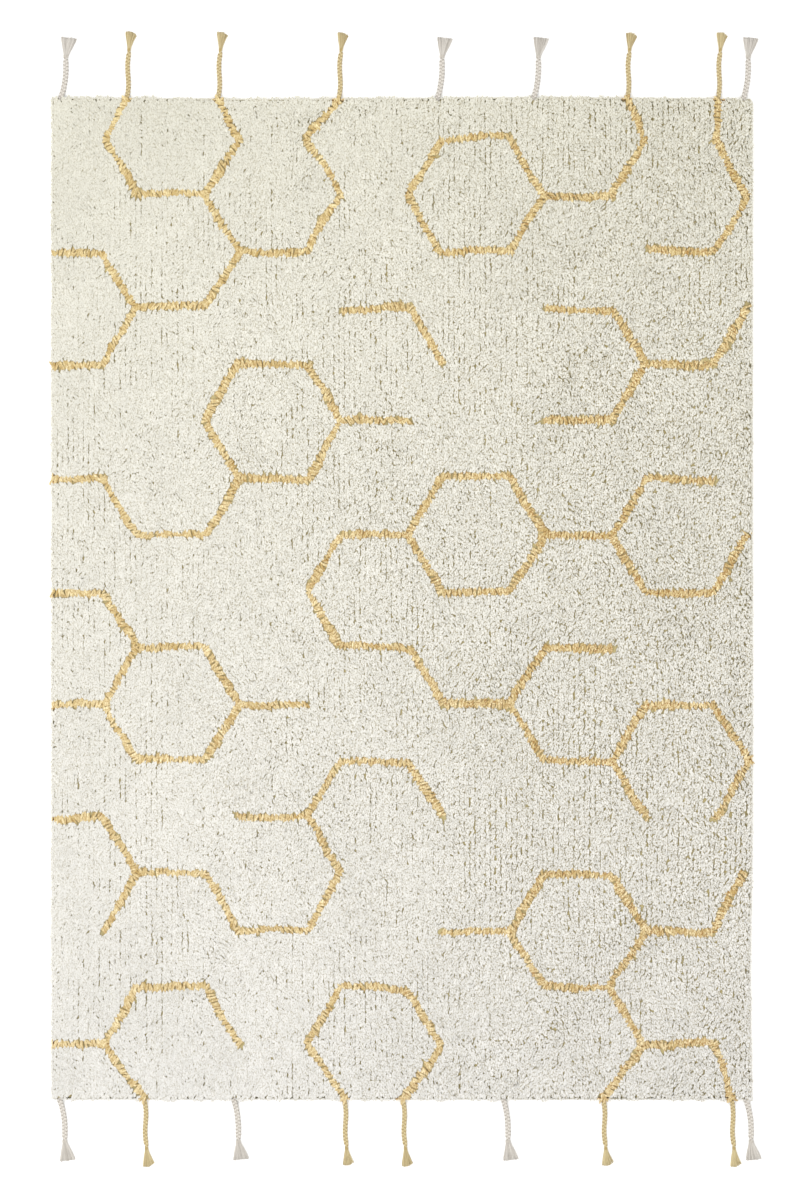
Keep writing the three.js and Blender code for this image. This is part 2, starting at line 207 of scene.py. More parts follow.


# Cut pile: the tuft's own tone picks the colour, which darkens to a painted root shade down the
# tuft.
# Each tuft shows cut yarn ends, cells with their own tone and a thin crease of painted shade
# between them.
# The painted crease shade is stronger towards +X, weaker towards the rug's ends and uneven from
# spot to spot.
# Along the rug the colour turns from a cooler to a warmer tint: a painted cast of warmer light
# towards +Y.
def pileMaterial(name, low, high, root, creaseShadeColour, contrast, closed):
    k = pileLook
    material, tree, baseColour, height, spot = clothMaterial(name, 0.95, 0.15, 0.0006, 0.6)
    tone = addNode(tree, "ShaderNodeAttribute", attribute_name="tone").outputs["Fac"]
    up = addNode(tree, "ShaderNodeAttribute", attribute_name="up").outputs["Fac"]
    patches = addNode(tree, "ShaderNodeTexNoise", {"Vector": spot, "Scale": k["patchScale"],
                                                  "Detail": 0.0})
    centred = addNode(tree, "ShaderNodeVectorMath", {0: patches.outputs["Color"],
                                                     1: (0.5, 0.5, 0.5)}, operation="SUBTRACT")
    dragged = addNode(tree, "ShaderNodeVectorMath", {0: centred.outputs[0], 1: (2 * k["nap"],) * 3,
                                                     2: spot}, operation="MULTIPLY_ADD")
    cells = addNode(tree, "ShaderNodeVectorMath", {0: dragged.outputs[0], 1: k["endScale"]},
                    operation="MULTIPLY").outputs[0]
    border = addNode(tree, "ShaderNodeTexVoronoi", {"Vector": cells, "Scale": 1.0},
                     feature="DISTANCE_TO_EDGE").outputs["Distance"]
    ends = addNode(tree, "ShaderNodeTexVoronoi", {"Vector": cells, "Scale": 1.0}).outputs["Color"]
    place = addNode(tree, "ShaderNodeSeparateXYZ", {"Vector": spot})
    rough = remap(tree, place.outputs["X"], -0.7, 0.4, k["smoothSide"], 1.0)
    away = addNode(tree, "ShaderNodeMath", {0: place.outputs["Y"], 1: place.outputs["Y"]},
                   operation="MULTIPLY").outputs[0]
    rough = addNode(tree, "ShaderNodeMath", {0: away, 1: k["endSmoothing"], 2: rough},
                    operation="MULTIPLY_ADD").outputs[0]

    endTone = remap(tree, addNode(tree, "ShaderNodeSeparateColor", {0: ends}).outputs[0],
                    0.0, 1.0, -contrast, contrast)
    grain = addNode(tree, "ShaderNodeTexNoise", {"Vector": spot, "Scale": k["grainScale"],
                                                 "Detail": 2.0}).outputs["Fac"]
    speckle = remap(tree, grain, 0.3, 0.7, -k["grainTone"], k["grainTone"])
    both = addNode(tree, "ShaderNodeMath", {0: endTone, 1: speckle}, operation="ADD").outputs[0]
    total = addNode(tree, "ShaderNodeMath", {0: both, 1: rough, 2: tone},
                    operation="MULTIPLY_ADD", use_clamp=True).outputs[0]
    yarn = mixColour(tree, total, low, high)

    uneven = addNode(tree, "ShaderNodeTexNoise", {"Vector": spot, "Scale": k["depthScale"],
                                                  "Detail": 0.0}).outputs["Fac"]
    depth = remap(tree, uneven, closed, closed + k["depthRange"], 0.0, 1.0)
    depth = addNode(tree, "ShaderNodeMath", {0: depth, 1: rough}, operation="MULTIPLY").outputs[0]
    # Painted shade: the crease colour darkens a thin line between yarn ends, as strongly as depth
    # allows
    line = remap(tree, border, k["creaseStart"], k["creaseWidth"], 1.0, 0.0)
    creaseShadeAmount = addNode(tree, "ShaderNodeMath", {0: line, 1: depth}, operation="MULTIPLY").outputs[0]
    yarn = mixColour(tree, creaseShadeAmount, yarn, creaseShadeColour)
    # Painted shade: the colour turns from the root colour at the tuft's foot to the yarn's higher
    # up
    lit = remap(tree, up, *k["rootShadeFade"], 0.0, 1.0)
    # Painted light: the cast warms along the rug towards +Y
    warmLight = remap(tree, place.outputs["Y"], -1.0, 1.0, 0.0, 1.0)
    lightTint = mixColour(tree, warmLight, k["coolLightTint"], k["warmLightTint"])
    pile = mixColour(tree, lit, root, yarn)
    tree.links.new(mixColour(tree, 1.0, pile, lightTint, "MULTIPLY"), baseColour)
    relief = addNode(tree, "ShaderNodeMath", {0: grain, 1: line}, operation="SUBTRACT").outputs[0]
    tree.links.new(relief, height)
    return material


creamPileMaterial = pileMaterial(
    "creamPile", pileLook["creamLow"], pileLook["creamHigh"], pileLook["creamRootShade"],
    pileLook["creamCreaseShade"], contrast=0.12, closed=0.41)
yellowPileMaterial = pileMaterial(
    "yellowPile", pileLook["yellowLow"], pileLook["yellowHigh"], pileLook["yellowRootShade"],
    pileLook["yellowCreaseShade"], contrast=0.3, closed=0.34)


# Plain canvas: two crossed sets of fine threads on the object's own X and Y, with painted shade
# between them
def canvasMaterial():
    material, tree, baseColour, height, spot = clothMaterial("canvasBack", 0.9, 0.1, 0.0004, 0.6)
    warp = addNode(tree, "ShaderNodeTexWave", {"Vector": spot, "Scale": 160.0, "Distortion": 1.5,
                                               "Detail Scale": 2.0}, bands_direction="X")
    weft = addNode(tree, "ShaderNodeTexWave", {"Vector": spot, "Scale": 160.0, "Distortion": 1.5,
                                               "Detail Scale": 2.0}, bands_direction="Y")
    weave = mixColour(tree, 1.0, warp.outputs["Color"], weft.outputs["Color"], "MULTIPLY")
    slub = addNode(tree, "ShaderNodeTexNoise", {"Vector": spot, "Scale": 60.0, "Detail": 4.0})
    # Painted shade: the weave darkens the colour between the threads
    shadedWeave = mixColour(tree, weave, colour(196, 186, 160), colour(222, 214, 192))
    uneven = mixColour(tree, slub.outputs["Fac"], colour(212, 204, 182), colour(226, 220, 202))
    tree.links.new(mixColour(tree, 0.5, shadedWeave, uneven), baseColour)
    tree.links.new(weave, height)
    return material


# The pile's ground, seen only in the gaps between tufts, coloured darker than the canvas as painted
# shade there
def groundShadeMaterial():
    material, tree, baseColour, height, spot = clothMaterial("pileGroundShade", 0.95, 0.1, 0.001, 0.8)
    roots = addNode(tree, "ShaderNodeTexNoise", {"Vector": spot, "Scale": 260.0, "Detail": 3.0})
    # Painted shade: darker olive than the canvas, so the gaps between tufts read as shaded
    tree.links.new(mixColour(tree, roots.outputs["Fac"], colour(168, 154, 106),
                             colour(198, 184, 138)), baseColour)
    tree.links.new(roots.outputs["Fac"], height)
    return material


canvas = canvasMaterial()
groundShade = groundShadeMaterial()
print("pile and backing materials made")

backing = dict(
    topShare=0.56,  # the pile's ground lies at this share of the pile's height
    middleShares=[0.25, 0.5, 0.75, 0.92],  # rings over the middle, as shares of the outline
    insets=[0.0025, 0.0016, 0.0014, 0.0022, 0.005, 0.009],
    heights=[0.0, 0.0008, 0.0026, 0.0045, 0.0066, 0.0074],
    canvasRings=2,  # rings after the first inset one up to which the canvas shows
    cornerSteps=5,
    edgeSteps=28,
)


# The backing and the pile's ground as one closed surface. Round the rug it follows a rounded
# rectangle, and from the middle below to the middle above it follows a profile of inset and height.
def makeBacking():
    s, b = rugShape, backing
    radius = s["cornerRadius"]
    innerX, innerY = s["halfWidth"] - radius, s["halfLength"] - radius
    turns = np.linspace(0, np.pi / 2, b["cornerSteps"])
    edges = np.linspace(0, 1, b["edgeSteps"])[1:-1]
    xs, ys = [], []
    corners = [(innerX, innerY), (-innerX, innerY), (-innerX, -innerY), (innerX, -innerY)]
    for k, (cx, cy) in enumerate(corners):
        nx, ny = corners[(k + 1) % 4]
        arc = turns + k * np.pi / 2
        ax, ay = cx + radius * np.cos(arc), cy + radius * np.sin(arc)
        ex = nx + radius * math.cos((k + 1) * math.pi / 2)
        ey = ny + radius * math.sin((k + 1) * math.pi / 2)
        xs += [ax, ax[-1] + (ex - ax[-1]) * edges]
        ys += [ay, ay[-1] + (ey - ay[-1]) * edges]
    outlineX, outlineY = np.concatenate(xs), np.concatenate(ys)
    around = len(outlineX)

    shares = b["middleShares"]
    ringX = [outlineX * k for k in shares]
    ringY = [outlineY * k for k in shares]
    ringZ = [np.zeros(around)] * len(shares)
    for inset, high in zip(b["insets"], b["heights"]):
        ringX.append(outlineX * (1 - inset / s["halfWidth"]))
        ringY.append(outlineY * (1 - inset / s["halfLength"]))
        ringZ.append(np.full(around, high))
    for k in shares[::-1]:
        ringX.append(outlineX * k)
        ringY.append(outlineY * k)
        ringZ.append(pileTop(outlineX * k, outlineY * k) * b["topShare"])
    x, y = onOutline(np.array(ringX), np.array(ringY))
    rings = len(ringX)
    points = np.stack([x, y, np.array(ringZ)], axis=2).reshape(-1, 3)
    middleTop = [0, 0, float(pileTop(0.0, 0.0)) * b["topShare"]]
    points = np.vstack([points, [[0, 0, 0], middleTop]])

    i, j = np.meshgrid(np.arange(rings - 1), np.arange(around), indexing="ij")
    after = (j + 1) % around
    quads = np.stack([i * around + j, i * around + after,
                      (i + 1) * around + after, (i + 1) * around + j], axis=2).reshape(-1, 4)
    k = np.arange(around)
    last = (rings - 1) * around
    below = np.stack([(k + 1) % around, k, np.full(around, rings * around)], axis=1)
    above = np.stack([last + k, last + (k + 1) % around,
                      np.full(around, rings * around + 1)], axis=1)
    piece = newPiece("rugBacking", points, [quads, below, above], [canvas, groundShade])
    isGround = np.zeros(len(quads) + 2 * around, np.int32)
    isGround[(len(shares) + b["canvasRings"]) * around:len(quads)] = 1
    isGround[len(quads) + around:] = 1
    piece.data.polygons.foreach_set("material_index", isGround)
    piece.data.update()
    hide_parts("rug")
    return piece


backingPiece = makeBacking()
print("backing made")

# The drawn honeycomb lines. Flat-topped cells stand in columns and half rows. Row by row, each
# entry names the sides drawn at one column: H is the level side, U the side that rises from its
# right end, D the side that falls from it. Even rows hold columns 0, 2, 4, 6, odd rows 1, 3, 5.
honeycomb = dict(
    firstColumnX=-0.664,
    columnPitch=0.203,
    firstRowY=0.918,
    rowPitch=0.1128,
    halfSide=0.0675,
    halfWidth=0.0101,
    halfWidthChange=0.0022,
    drift=0.0055,  # how far the lines wander
    driftCell=0.085,
    fineDrift=0.002,
    fineDriftCell=0.028,
    endInset=0.0045,
    sideInset=0.003,
    rootBar=0.0035,  # half the length of the bar at each yellow tassel
    ribPitch=0.0043,
    ribHalfWidth=0.0028,
    ribSink=0.0014,
    tuftSink=0.001,
    firstRow=-1,
    chart=[
        ["D", "", "D"],
        ["UD", "UD", "HD", "UD"],
        ["HUD", "UD", "HU"],
        ["HD", "HU", "HU", "HU"],
        ["HU", "HD", "HD"],
        ["HU", "HD", "", "HU"],
        ["UD", "H", "HU"],
        ["HD", "HU", "HD", "H"],
        ["HU", "HUD", "HUD"],
        ["HD", "UD", "HU", "HU"],
        ["HD", "HD", "H"],
        ["HUD", "H", "HUD", "HD"],
        ["HU", "HD", "HUD"],
        ["HD", "HUD", "", "U"],
        ["HD", "", "HD"],
        ["U", "HU", "HUD", "HU"],
        ["HD", "HD", "HUD"],
        ["HUD", "UD", "", "HD"],
        ["", "U", "U"],
    ],
)


# The chart's lines as start and end points. Those that would leave an end of the rug turn to the
# nearest yellow tassel there, where a short bar widens them.
def honeycombLines(tasselPlaces):
    h = honeycomb
    lines = []
    for n, entries in enumerate(h["chart"]):
        row = h["firstRow"] + n
        for m, sides in enumerate(entries):
            column = 2 * m + row % 2
            x = h["firstColumnX"] + h["columnPitch"] * column
            y = h["firstRowY"] - h["rowPitch"] * row
            right = (x + h["halfSide"], y)
            nextLeft = x + h["columnPitch"] - h["halfSide"]
            if "H" in sides:
                lines.append([(x - h["halfSide"], y), right])
            if "U" in sides:
                lines.append([right, (nextLeft, y + h["rowPitch"])])
            if "D" in sides:
                lines.append([right, (nextLeft, y - h["rowPitch"])])
    lines = np.array(lines)
    reach = rugShape["halfLength"] - h["endInset"]
    for end in (1, -1):
        places = np.array([x for side, kind, x in tasselPlaces if side == end and kind == "yellow"])
        out = end * lines[:, :, 1] > reach
        nearest = np.abs(lines[:, :, 0, None] - places).argmin(axis=2)
        lines[:, :, 0] = np.where(out, places[nearest], lines[:, :, 0])
        lines[:, :, 1] = np.where(out, end * reach, lines[:, :, 1])
    half = rugShape["halfWidth"] - h["sideInset"]
    lines[:, :, 0] = np.clip(lines[:, :, 0], -half, half)
    bars = [[(x - h["rootBar"], side * reach), (x + h["rootBar"], side * reach)]
            for side, kind, x in tasselPlaces if kind == "yellow"]
    return np.concatenate([lines, bars])


# How far the drawn lines wander at a place: coarse noise, which fades at the rug's ends, plus fine
def lineDrift(x, y):
    h = honeycomb
    fade = ease((rugShape["halfLength"] - np.abs(y)) / 0.05)
    dx = h["drift"] * fade * softNoise(x, y, h["driftCell"], 11)
    dy = h["drift"] * fade * softNoise(x, y, h["driftCell"], 12)
    fine, cell = h["fineDrift"], h["fineDriftCell"]
    return dx + fine * softNoise(x, y, cell, 13), dy + fine * softNoise(x, y, cell, 14)


# A line's half width at a place: its usual half width plus coarse and fine noise
def lineHalfWidth(x, y):
    h = honeycomb
    return h["halfWidth"] + h["halfWidthChange"] * (
        softNoise(x, y, 0.045, 15) + 0.6 * softNoise(x, y, 0.016, 16))


# Distance from each place to the nearest drawn line, less the line's half width there
def outsideLines(x, y, lines):
    dx, dy = lineDrift(x, y)
    px, py = x + dx, y + dy
    best = np.full(x.shape, 1e9)
    for (ax, ay), (bx, by) in lines:
        ux, uy = bx - ax, by - ay
        t = np.clip(((px - ax) * ux + (py - ay) * uy) / (ux * ux + uy * uy), 0, 1)
        best = np.minimum(best, np.hypot(px - ax - t * ux, py - ay - t * uy))
    return best - lineHalfWidth(x, y)


# Tufts as closed buds: a root point, an uneven ring at the shoulder and a tip. A ring point is the
# shoulder plus half the length times cos a along the tuft's own heading plus half the width times
# sin a across it, in the plane that the tuft stands upright in. No ring point lies below the floor
# or far above the pile.
def newTufts(name, roots, tips, halfLengths, halfWidths, headings, tones, material,
             sides=4, shoulder=0.68):
    count = len(roots)
    rng = np.random.default_rng(count)
    axis = tips - roots
    axis = axis / np.linalg.norm(axis, axis=1, keepdims=True)
    along = np.stack([np.cos(headings), np.sin(headings), np.zeros(count)], axis=1)
    along -= axis * np.sum(along * axis, axis=1, keepdims=True)
    along /= np.linalg.norm(along, axis=1, keepdims=True)
    across = np.cross(axis, along)
    angle = np.arange(sides) * 2 * np.pi / sides + rng.uniform(0, 2 * np.pi, (count, 1))
    uneven = rng.uniform(0.8, 1.16, (count, sides))
    shares = shoulder + rng.uniform(-0.07, 0.07, (count, sides))
    aside = ((halfLengths[:, None] * uneven * np.cos(angle))[..., None] * along[:, None]
             + (halfWidths[:, None] * uneven * np.sin(angle))[..., None] * across[:, None])
    rings = roots[:, None] + shares[..., None] * (tips - roots)[:, None] + aside
    highest = rugShape["thickness"] + 0.001
    rings[..., 2] = np.clip(rings[..., 2], 0.0002, highest)
    points = np.concatenate([rings, roots[:, None], tips[:, None]], axis=1)
    k = np.arange(sides)
    after = (k + 1) % sides
    lower = np.stack([after, k, np.full(sides, sides)], axis=1)
    upper = np.stack([k, after, np.full(sides, sides + 1)], axis=1)
    one = np.concatenate([lower, upper])
    faces = (np.arange(count)[:, None, None] * (sides + 2) + one).reshape(-1, 3)
    # From painted root shade at 0 to the yarn's colour at 1; the ring's share is lower across the
    # tuft's sides
    ringLitShare = 0.2 + 0.3 * np.cos(angle) ** 2 + 0.2 * rng.random((count, 1))
    up = np.concatenate([ringLitShare, np.zeros((count, 1)), np.ones((count, 1))], axis=1)
    values = {"tone": np.repeat(tones, sides + 2), "up": up}
    piece = newPiece(name, points, [faces], material, values)
    mesh = piece.data
    ends = np.empty(2 * len(mesh.edges), np.int32)
    mesh.edges.foreach_get("vertices", ends)
    sharp = np.all(ends.reshape(-1, 2) % (sides + 2) < sides, axis=1)
    mesh.attributes.new("sharp_edge", "BOOLEAN", "EDGE").data.foreach_set("value", sharp)
    return piece


tasselPlaces = [  # end of the rug, yarn and where the tassel leaves the edge
    (1, "natural", -0.681), (1, "yellow", -0.549), (1, "yellow", -0.367),
    (1, "yellow", -0.126), (1, "natural", 0.071), (1, "natural", 0.263),
    (1, "yellow", 0.45), (1, "yellow", 0.631), (1, "natural", 0.682),
    (-1, "natural", -0.683), (-1, "yellow", -0.514), (-1, "natural", -0.335),
    (-1, "yellow", -0.115), (-1, "yellow", 0.002), (-1, "natural", 0.203),
    (-1, "yellow", 0.402), (-1, "yellow", 0.658), (-1, "natural", 0.687),
]
tasselRoot = dict(inside=0.006, height=0.0056, fallStart=0.002, fallEnd=0.018, notchDepth=0.0085)
lines = honeycombLines(tasselPlaces)

creamPile = dict(
    stripWidth=0.0104,
    rowsPerStrip=3,
    tuftPitch=0.0082,
    rootHeight=0.004,
    halfLength=0.0074,
    halfWidth=0.0037,
    opening=0.0025,  # how far two strips part at most
    wander=0.001,
    fieldLean=0.0022,  # how far whole patches lean
    clumpLean=0.0018,  # how far loose patches bunch up
    looseLean=0.0007,
    lineGap=-0.0018,  # a cream tuft may stand this far inside a line's edge
    sideInset=0.003,
    endInset=0.004,
    calmReach=0.012,  # within this of an edge the tufts lean less and less
    spill=0.0019,  # how far edge tufts lean out over the rim
    spillReach=0.011,
    droop=0.0012,  # how much lower edge tufts end
    droopReach=0.008,
    tipDrop=0.0014,
    tone=0.63,
    toneSpread=0.14,
    bands=4,
    seed=21,
)


# Where the pile parts in streaks along the rug, 1, and where it bunches up, 0
def streakZone(x, y):
    return ease(0.5 + 0.9 * softNoise(x, y * 0.7, 0.17, 31) + 0.5 * softNoise(x, y * 0.7, 0.06, 32))


# How far two neighbouring strips part at a place: smooth noise along each seam between strips,
# cut off below a threshold that falls where the pile parts
def seamOpening(x, y, seam):
    c = creamPile
    threshold = 0.2 - 0.65 * streakZone(x, y)
    seamPlace = seam.astype(float) * 7.31
    along = 0.7 * softNoise(seamPlace, y / 0.04, 1.0, 33)
    along = along + 0.4 * softNoise(seamPlace, y / 0.012, 1.0, 34)
    return c["opening"] * np.clip(1.8 * (along - threshold), 0, 1)


# How rough the pile stands: smoother along the -X side and towards the ends, with soft patches
def roughness(x, y):
    s = rugShape
    trend = 0.95 + 0.27 * x / s["halfWidth"] - 0.16 * (y / s["halfLength"] + 0.1) ** 2
    return trend + 0.1 * softNoise(x, y, 0.16, 47)


# Sideways lean of the tufts: strips wander and part at their seams, patches share a direction,
# and small clumps pull together
def pileLean(x, y, row, rng):
    c = creamPile
    strip, place = row // c["rowsPerStrip"], row % c["rowsPerStrip"]
    part = np.where(place == 0, 0.5 * seamOpening(x, y, strip), 0)
    part = np.where(place == c["rowsPerStrip"] - 1, -0.5 * seamOpening(x, y, strip + 1), part)
    wander = c["wander"] * softNoise(strip.astype(float) * 3.17, y / 0.05, 1.0, 35)
    turn = 1.5 * np.pi * softNoise(x, y, 0.14, 36) + 0.6 * np.pi * softNoise(x, y, 0.045, 37)
    loosePatch = 1 - 0.7 * streakZone(x, y)
    size = c["fieldLean"] * loosePatch * (0.8 + 0.5 * softNoise(x, y, 0.07, 38))
    step = 0.003
    pullX = softNoise(x + step, y, 0.015, 39) - softNoise(x - step, y, 0.015, 39)
    pullY = softNoise(x, y + step, 0.018, 40) - softNoise(x, y - step, 0.018, 40)
    leanX = wander + size * np.sin(turn) + c["clumpLean"] * loosePatch * pullX
    leanY = -size * np.cos(turn) + 1.3 * c["clumpLean"] * loosePatch * pullY
    loose = rng.normal(0, 1, (2, len(x))) * c["looseLean"] * (2.6 * roughness(x, y) - 1)
    return part, leanX + loose[0], leanY + 1.6 * loose[1]


# Clear of the small notches where the tassels come out
def outsideNotches(x, y, halfWidth):
    clear = np.ones(len(x), bool)
    for end, kind, rootX in tasselPlaces:
        inNotch = end * y > rugShape["halfLength"] - tasselRoot["notchDepth"]
        clear &= ~((np.abs(x - rootX) < halfWidth) & inNotch)
    return clear


# Rows of tufts along the rug, leaning as above, with their tips on the pile's surface less a droop
# and a random drop. They are a little darker towards both ends and the -X side, painted shade.
def makeCreamPile():
    c, s = creamPile, rugShape
    rng = np.random.default_rng(c["seed"])
    halfX, halfY = s["halfWidth"] - c["sideInset"], s["halfLength"] - c["endInset"]
    rows = c["rowsPerStrip"] * int(round(2 * halfX / c["stripWidth"]))
    perRow = int(2 * halfY / c["tuftPitch"])
    row, place = np.meshgrid(np.arange(rows), np.arange(perRow), indexing="ij")
    row, place = row.ravel(), place.ravel()
    x = -halfX + (row + 0.5) * 2 * halfX / rows + rng.normal(0, 0.0005, len(row))
    shift = rng.random(rows)[row]
    y = -halfY + (place + shift) * 2 * halfY / perRow + rng.normal(0, 0.001, len(row))
    part, leanX, leanY = pileLean(x, y, row, rng)
    part = part * ease((s["halfWidth"] - np.abs(x)) / c["calmReach"])
    x = x + part

    edgeX, edgeY = s["halfWidth"] - np.abs(x), s["halfLength"] - np.abs(y)
    leanX = leanX * ease(edgeX / c["calmReach"])
    leanY = leanY * ease(edgeY / c["calmReach"])
    leanX = leanX + np.sign(x) * c["spill"] * ease(1 - edgeX / c["spillReach"])
    leanY = leanY + np.sign(y) * c["spill"] * ease(1 - edgeY / c["spillReach"])
    outX = np.maximum(np.abs(x) - (s["halfWidth"] - s["cornerRadius"]), 0)
    outY = np.maximum(np.abs(y) - (s["halfLength"] - s["cornerRadius"]), 0)
    keep = np.hypot(outX, outY) < s["cornerRadius"] - 0.002
    keep &= outsideLines(x + 0.6 * leanX, y + 0.6 * leanY, lines) > c["lineGap"]
    keep &= outsideNotches(x, y, 0.0052)
    x, y, leanX, leanY = x[keep], y[keep], leanX[keep], leanY[keep]
    edge = np.minimum(edgeX, edgeY)[keep]

    count = len(x)
    rx, ry = onOutline(x, y)
    tx, ty = onOutline(x + leanX, y + leanY)
    lean = np.hypot(leanX, leanY)
    clumps = 0.0002 * softNoise(tx, ty, 0.016, 43) + 0.0002 * softNoise(tx, ty, 0.035, 44)
    droop = 0.15 * lean + c["droop"] * ease(1 - edge / c["droopReach"])
    rough = roughness(x, y)
    tipZ = pileTop(tx, ty) - droop + clumps - c["tipDrop"] * rough ** 2 * rng.random(count)
    roots = np.stack([rx, ry, np.full(count, c["rootHeight"])], axis=1)
    tips = np.stack([tx, ty, np.minimum(tipZ, pileTop(tx, ty))], axis=1)
    size = rng.uniform(0.9, 1.14, count) * (1.2 - 0.2 * rough)
    heading = np.pi / 2 + 0.5 * softNoise(x, y, 0.05, 45) + rng.normal(0, 0.25, count)
    drift = 0.06 * softNoise(x, y, 0.25, 41) + 0.02 * softNoise(x, y, 0.05, 42)
    # Painted shade: the tone falls towards both ends and the -X side
    drift -= 0.2 * ease((y - 0.5) / 0.5) + 0.12 * ease((-y - 0.5) / 0.5)
    drift -= 0.14 * ease((-x - 0.25) / 0.4)
    tones = np.clip(c["tone"] + drift + rng.normal(0, c["toneSpread"], count) * rough, 0, 1)

    pieces = []
    limits = np.linspace(-s["halfLength"], s["halfLength"], c["bands"] + 1)
    for n in range(c["bands"]):
        b = (y >= limits[n]) & (y < limits[n + 1])
        pieces.append(newTufts(
            f"pileTufts{n + 1}", roots[b], tips[b], c["halfLength"] * size[b],
            c["halfWidth"] * size[b], heading[b], tones[b], creamPileMaterial))
    print("cream pile made:", count, "tufts")
    return pieces


rim = dict(
    pitch=0.0036,
    rowShifts=[0, 0.5, 0.15],  # of each row, in pitches
    tips=[(0.0048, 0.0006), (0.0080, 0.0004), (0.0108, 0.0014)],  # height and inset of each row
    rootInset=0.0068,
    halfLength=0.004,
    halfWidth=0.0032,
    seed=61,
)


# The pile's side: three rows of tufts round the rug, one above the other, that point outwards.
# A place on the outline is a corner's middle or a spot on an inner side, plus the reach along turn.
def makeRim():
    s, r = rugShape, rim
    rng = np.random.default_rng(r["seed"])
    radius = s["cornerRadius"]
    innerX, innerY = s["halfWidth"] - radius, s["halfLength"] - radius
    sides = np.array([2 * innerY, radius * np.pi / 2, 2 * innerX, radius * np.pi / 2] * 2)
    starts = np.concatenate([[0], np.cumsum(sides)])
    count = int(starts[-1] / r["pitch"])
    rowShift = np.repeat(r["rowShifts"], count)
    walked = (np.tile(np.arange(count), 3) + rowShift) * starts[-1] / count
    walked = (walked + rng.normal(0, 0.0008, len(walked))) % starts[-1]
    side = np.searchsorted(starts, walked, side="right") - 1
    gone = (walked - starts[side]) / sides[side]
    turn = np.where(side % 2 == 1, gone, 0) * np.pi / 2 + (side // 2) * np.pi / 2
    facing = side // 2  # +X, +Y, -X, -Y
    cornerX = np.array([innerX, -innerX, -innerX, innerX])[facing]
    cornerY = np.array([innerY, innerY, -innerY, -innerY])[facing]
    straightX = np.choose(facing, [innerX + 0 * gone, innerX - 2 * innerX * gone,
                                   -innerX + 0 * gone, -innerX + 2 * innerX * gone])
    straightY = np.choose(facing, [-innerY + 2 * innerY * gone, innerY + 0 * gone,
                                   innerY - 2 * innerY * gone, -innerY + 0 * gone])
    centreX = np.where(side % 2 == 1, cornerX, straightX)
    centreY = np.where(side % 2 == 1, cornerY, straightY)
    outX, outY = np.cos(turn), np.sin(turn)
    heights, insets = np.repeat(r["tips"], count, axis=0).T
    reach = radius - insets + rng.normal(0, 0.0004, len(walked))
    high = heights + rng.normal(0, 0.0004, len(walked))
    rootReach = radius - r["rootInset"]
    rx, ry = onOutline(centreX + rootReach * outX, centreY + rootReach * outY)
    sway = rng.normal(0, 0.0009, len(walked))
    tx, ty = onOutline(centreX + reach * outX - sway * outY, centreY + reach * outY + sway * outX)
    onLine = outsideLines(tx, ty, lines) < 0
    keep = outsideNotches(tx, ty, 0.0062)
    roots = np.stack([rx, ry, high * 0.75], axis=1)
    tips = np.stack([tx, ty, high], axis=1)
    tones = np.clip(rng.normal(0.6, 0.16, len(tx)), 0, 1)
    size = rng.uniform(0.9, 1.15, len(tx))
    pieces = []
    for name, b, material, slot in (
            ("pileRim", keep & ~onLine, creamPileMaterial, "cream_pile"),
            ("pileRimYellow", keep & onLine, yellowPileMaterial, "yellow_pile")):
        pieces.append(newTufts(name, roots[b], tips[b], r["halfLength"] * size[b],
                               r["halfWidth"] * size[b], turn[b] + np.pi / 2, tones[b],
                               material))
    return pieces


